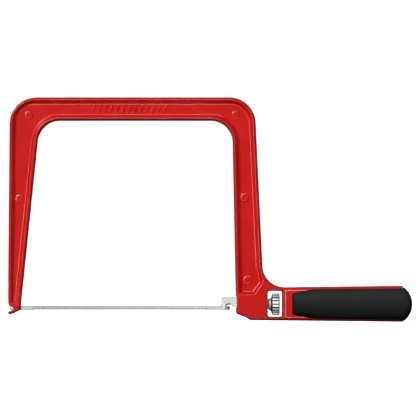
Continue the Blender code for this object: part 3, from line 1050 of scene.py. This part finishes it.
def brushed_metal(name, dark, light, rough, along_x=True, tint=None):
    """Metal with fine grinding marks along X, or across it, and faint clouding."""
    material, tree, shader = finish_nodes(name)
    stretch = (0.04, 1.0, 1.0) if along_x else (1.0, 0.25, 0.25)
    lines = noise(tree, place_coordinates(tree, stretch), 5200.0, 3.0, 0.6)
    clouds = noise(tree, place_coordinates(tree), 180.0, 4.0)
    share = multiply(tree, spread(tree, lines, 0.3, 1.0), spread(tree, clouds, 0.55, 1.0))
    colour = blend_colours(tree, share, dark, light)
    if tint:
        colour = tint(tree, colour)
    tree.links.new(colour, shader.inputs["Base Color"])
    tree.links.new(spread(tree, lines, rough - 0.06, rough + 0.08), shader.inputs["Roughness"])
    shader.inputs["Metallic"].default_value = 1.0
    tree.links.new(bump(tree, lines, 0.000004), shader.inputs["Normal"])
    return material


def knurled_nickel():
    """Bright satin nickel on the ridges and the hub; the grooves, the flank and the hub's tip are
    darkened as painted shade.
    """
    material, tree, shader = finish_nodes("bright nickel plate")
    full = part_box("tension_wheel")[1].z
    flank = at(251.4)
    tip = at(247.8)
    painted_shade_dark = (0.02, 0.019, 0.018)
    across = tree.nodes.new("ShaderNodeVectorMath")
    across.operation = "LENGTH"
    tree.links.new(place_coordinates(tree, (0.0, 1.0, 1.0)), across.inputs[0])
    radius = across.outputs["Value"]
    right = spread(tree, axis_value(tree, "X"), 0.0, 1.0, flank, flank + 0.0006)
    ridge = multiply(tree, right, spread(tree, radius, 0.0, 1.0, full - 0.0004, full - 0.00018))
    lines = noise(tree, place_coordinates(tree, (1.0, 0.25, 0.25)), 5200.0, 3.0, 0.6)
    bright = blend_colours(tree, spread(tree, lines, 0.0, 1.0), (0.88, 0.86, 0.80),
                           (0.97, 0.95, 0.90))
    hub = spread(tree, radius, 1.0, 0.0, HUB_ROOT, HUB_ROOT + 0.0003)
    hub = multiply(tree, hub, spread(tree, axis_value(tree, "X"), 0.0, 1.0, tip, tip + 0.0005))
    # painted shade: near black in the grooves, on the flank and at the hub's tip
    body = blend_colours(tree, hub, painted_shade_dark, (0.80, 0.78, 0.72))
    tree.links.new(blend_colours(tree, ridge, body, bright), shader.inputs["Base Color"])
    lit = add(tree, ridge, multiply(tree, hub, 0.7))
    tree.links.new(spread(tree, lit, 0.95, 0.6, 0.0, 1.0), shader.inputs["Metallic"])
    tree.links.new(spread(tree, lines, 0.34, 0.44), shader.inputs["Roughness"])
    tree.links.new(bump(tree, lines, 0.000001), shader.inputs["Normal"])
    return material


# Studio

def make_floor():
    """A plain pale floor below the saw; it is not seen in reflections and lights nothing."""
    drop = 0.30
    half = 30.0
    level = CAD_LOW.z - drop
    mesh = bpy.data.meshes.new("floor")
    bm = bmesh.new()
    corners = ((-half, -half), (half, -half), (half, half), (-half, half))
    bm.faces.new([bm.verts.new((x, y, level)) for x, y in corners])
    bm.to_mesh(mesh)
    bm.free()
    floor = bpy.data.objects.new("floor", mesh)
    bpy.context.scene.collection.objects.link(floor)
    material, tree, shader = finish_nodes("pale floor")
    shade = spread(tree, noise(tree, place_coordinates(tree), 3.0), 0.0, 1.0)
    pale = blend_colours(tree, shade, (0.93, 0.93, 0.93), (0.96, 0.96, 0.96))
    tree.links.new(pale, shader.inputs["Base Color"])
    shader.inputs["Roughness"].default_value = 0.9
    shader.inputs["Emission Color"].default_value = (1.0, 1.0, 1.0, 1.0)
    shader.inputs["Emission Strength"].default_value = 0.8
    mesh.materials.append(material)
    floor.visible_diffuse = False
    floor.visible_glossy = False


def make_world():
    """A white surround; as light it is a dim ring round the saw, brighter at the upper left.

    It is dark straight in front and behind, so flat enamel shows its own colour.
    """
    dark = 0.02
    side = 0.14
    world = bpy.data.worlds.new("studio")
    bpy.context.scene.world = world
    world.use_nodes = True
    tree = world.node_tree
    output = tree.nodes["World Output"]
    light = tree.nodes["Background"]
    white = tree.nodes.new("ShaderNodeBackground")
    for background in (light, white):
        background.inputs["Color"].default_value = (1.0, 1.0, 1.0, 1.0)
    white.inputs["Strength"].default_value = 1.05

    direction = tree.nodes.new("ShaderNodeTexCoord").outputs["Generated"]
    frontal = along(tree, direction, (0.0, -1.0, 0.0))
    strength = spread(tree, multiply(tree, frontal, frontal), side, dark, 0.2, 0.8)
    strength.node.interpolation_type = "SMOOTHSTEP"
    left = along(tree, direction, (-1.0, 0.0, 0.0))
    strength = multiply(tree, strength, spread(tree, left, 0.4, 1.6, -1.0, 1.0))
    upwards = along(tree, direction, (0.0, 0.0, 1.0))
    strength = multiply(tree, strength, spread(tree, upwards, 0.5, 1.5, -1.0, 1.0))
    tree.links.new(strength, light.inputs["Strength"])

    seen = tree.nodes.new("ShaderNodeLightPath")
    choice = tree.nodes.new("ShaderNodeMixShader")
    tree.links.new(seen.outputs["Is Camera Ray"], choice.inputs["Fac"])
    tree.links.new(light.outputs["Background"], choice.inputs[1])
    tree.links.new(white.outputs["Background"], choice.inputs[2])
    tree.links.new(choice.outputs["Shader"], output.inputs["Surface"])


def along(tree, direction, axis):
    """The cosine between a direction and an axis."""
    node = tree.nodes.new("ShaderNodeVectorMath")
    node.operation = "DOT_PRODUCT"
    node.inputs[1].default_value = axis
    tree.links.new(direction, node.inputs[0])
    return node.outputs["Value"]


def make_sun(name, towards, strength, spread_degrees):
    """A soft distant light; towards points from the saw to the light."""
    data = bpy.data.lights.new(name, "SUN")
    data.energy = strength * math.pi
    data.angle = math.radians(spread_degrees)
    sun = bpy.data.objects.new(name, data)
    sun.rotation_mode = "QUATERNION"
    sun.rotation_quaternion = Vector(towards).to_track_quat("Z", "Y")
    bpy.context.scene.collection.objects.link(sun)


def make_studio():
    """Six suns stand 20 degrees off the view, the key is high at the left, two are behind."""
    suns = (
        ("upper_left", (-0.25, -0.94, 0.25), 0.22, 16),
        ("upper", (0.0, -0.94, 0.342), 0.18, 16),
        ("left", (-0.342, -0.94, 0.0), 0.20, 16),
        ("lower_left", (-0.25, -0.94, -0.25), 0.04, 16),
        ("lower", (0.0, -0.94, -0.342), 0.13, 16),
        ("lower_right", (0.25, -0.94, -0.25), 0.05, 16),
        ("key", (-0.50, -0.71, 0.50), 0.38, 24),
        ("back_left", (-0.25, 0.93, 0.25), 0.40, 26),
        ("back_right", (0.30, 0.93, 0.12), 0.28, 26),
    )
    make_floor()
    make_world()
    for sun in suns:
        make_sun(*sun)
    settings = bpy.context.scene.view_settings
    settings.view_transform = "Standard"
    settings.look = "None"


def make_camera():
    """Square on to the saw's front face, with a long lens."""
    span = 0.399
    distance = 6.0
    centre_x = at(192.2)
    centre_z = 0.0895
    data = bpy.data.cameras.new("camera")
    data.lens = data.sensor_width * distance / span
    data.clip_end = 100.0
    camera = bpy.data.objects.new("camera", data)
    camera.location = (centre_x, CAD_LOW.y - distance, centre_z)
    camera.rotation_euler = (math.pi / 2, 0.0, 0.0)
    bpy.context.scene.collection.objects.link(camera)
    bpy.context.scene.camera = camera


# Assembly

red = enamel()
black = rubber()
# the holder's zinc gets painted shade inside the rear pin's notch
zinc = brushed_metal("bright zinc plate", (0.36, 0.37, 0.37), (0.58, 0.59, 0.58), 0.46,
                     tint=paint_notch_shade)
nickel = knurled_nickel()
# the blade is darker towards the nose and has painted shade on every other tooth
blade_steel = brushed_metal("ground blade steel", (0.30, 0.31, 0.33), (0.46, 0.47, 0.49), 0.44,
                            tint=darken_blade_and_shade_teeth)
black_steel = brushed_metal("blackened steel", (0.035, 0.037, 0.037), (0.07, 0.07, 0.07), 0.34,
                            along_x=False)
plain_steel = brushed_metal("turned steel", (0.46, 0.46, 0.46), (0.62, 0.62, 0.61), 0.30,
                            along_x=False)

make_casting(red)
make_grips(black)
for screw_number in SCREWS:
    make_screw(screw_number, zinc)
make_washer(black_steel)
make_wheel(nickel)
make_holder(zinc)
make_rod(plain_steel)
make_pin("cross_pin", "rod_pin", "blade_carriage", plain_steel)
make_blade(blade_steel)
make_pin("front_pin", "blade_pin_front", "blade_carriage", plain_steel)
# the rear pin takes the dark steel, so it is darker than the front pin, matching the dark patch
# in its notch
make_pin("rear_pin", "blade_pin_rear", "blade_carriage", black_steel)

make_studio()
make_camera()
